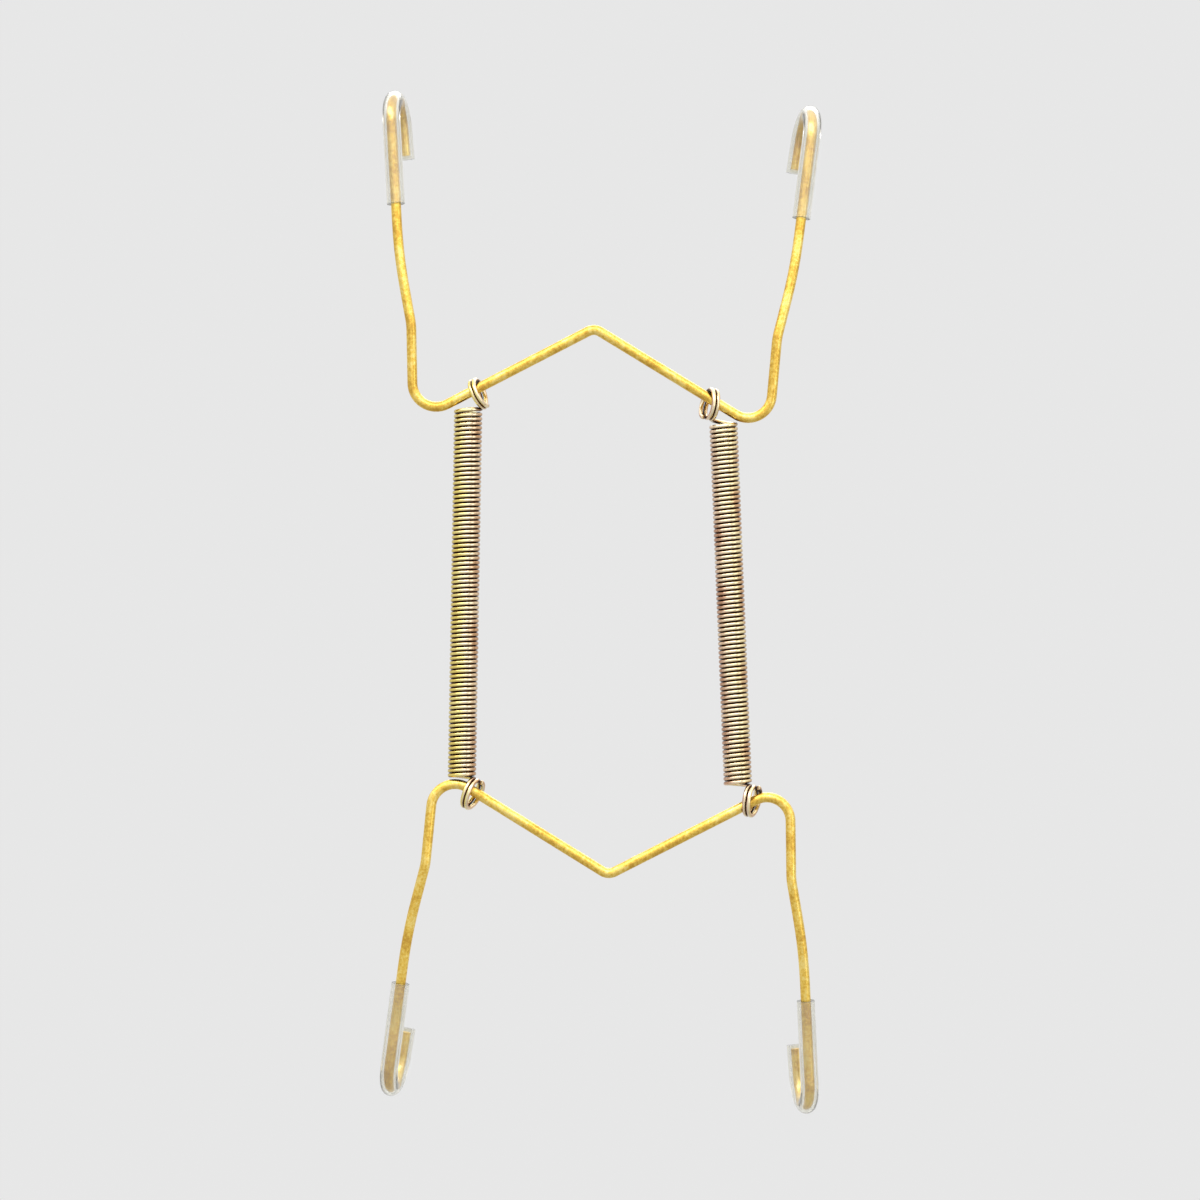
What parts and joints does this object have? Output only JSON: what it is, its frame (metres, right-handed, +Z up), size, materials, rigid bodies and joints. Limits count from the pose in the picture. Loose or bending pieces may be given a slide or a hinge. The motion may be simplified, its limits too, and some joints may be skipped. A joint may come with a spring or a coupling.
{
  "type": "wire plate hanger",
  "caption": "Wire plate hanger: two bent wire forms with clear-sleeved hooks, drawn together by two close-wound extension springs, for showing a plate on a wall",
  "frame": {"origin": "underside of the upper vee's rounded apex, where the hanger rests on its wall hook", "axes": "+X across the hanger to the right as seen from the wall side, +Y towards the plate and the open side of the hooks, +Z up"},
  "size_m": [0.0616, 0.0147, 0.1322],
  "materials": {
    "plated_wire": "bright brass plating on steel wire",
    "spring_steel": "bright plated spring wire",
    "clear_vinyl": "clear soft sleeve"
  },
  "bodies": {
    "upper_frame": {"upper_wire": "plated_wire", "upper_left_tip": "clear_vinyl", "upper_right_tip": "clear_vinyl"},
    "left_spring": {"left_spring": "spring_steel"},
    "right_spring": {"right_spring": "spring_steel"},
    "lower_frame": {"lower_wire": "plated_wire", "lower_left_tip": "clear_vinyl", "lower_right_tip": "clear_vinyl"}
  },
  "joints": [
    {"name": "upper_swing", "type": "hinge", "parent": "upper_frame", "child": "left_spring", "pos_m": [0, 0, -0.00773], "axis": [1, 0, 0], "range_deg": [-30, 30]},
    {"name": "stretch", "type": "slide", "parent": "left_spring", "child": "right_spring", "axis": [0, 0, -1], "range_m": [0, 0.067], "stiffness_N_per_m": 780, "springref_m": -0.003, "deforming": ["left_spring", "right_spring"]},
    {"name": "lower_swing", "type": "hinge", "parent": "right_spring", "child": "lower_frame", "pos_m": [0.0047, 0, -0.06005], "axis": [1, 0, 0], "range_deg": [-15, 25]}
  ]
}
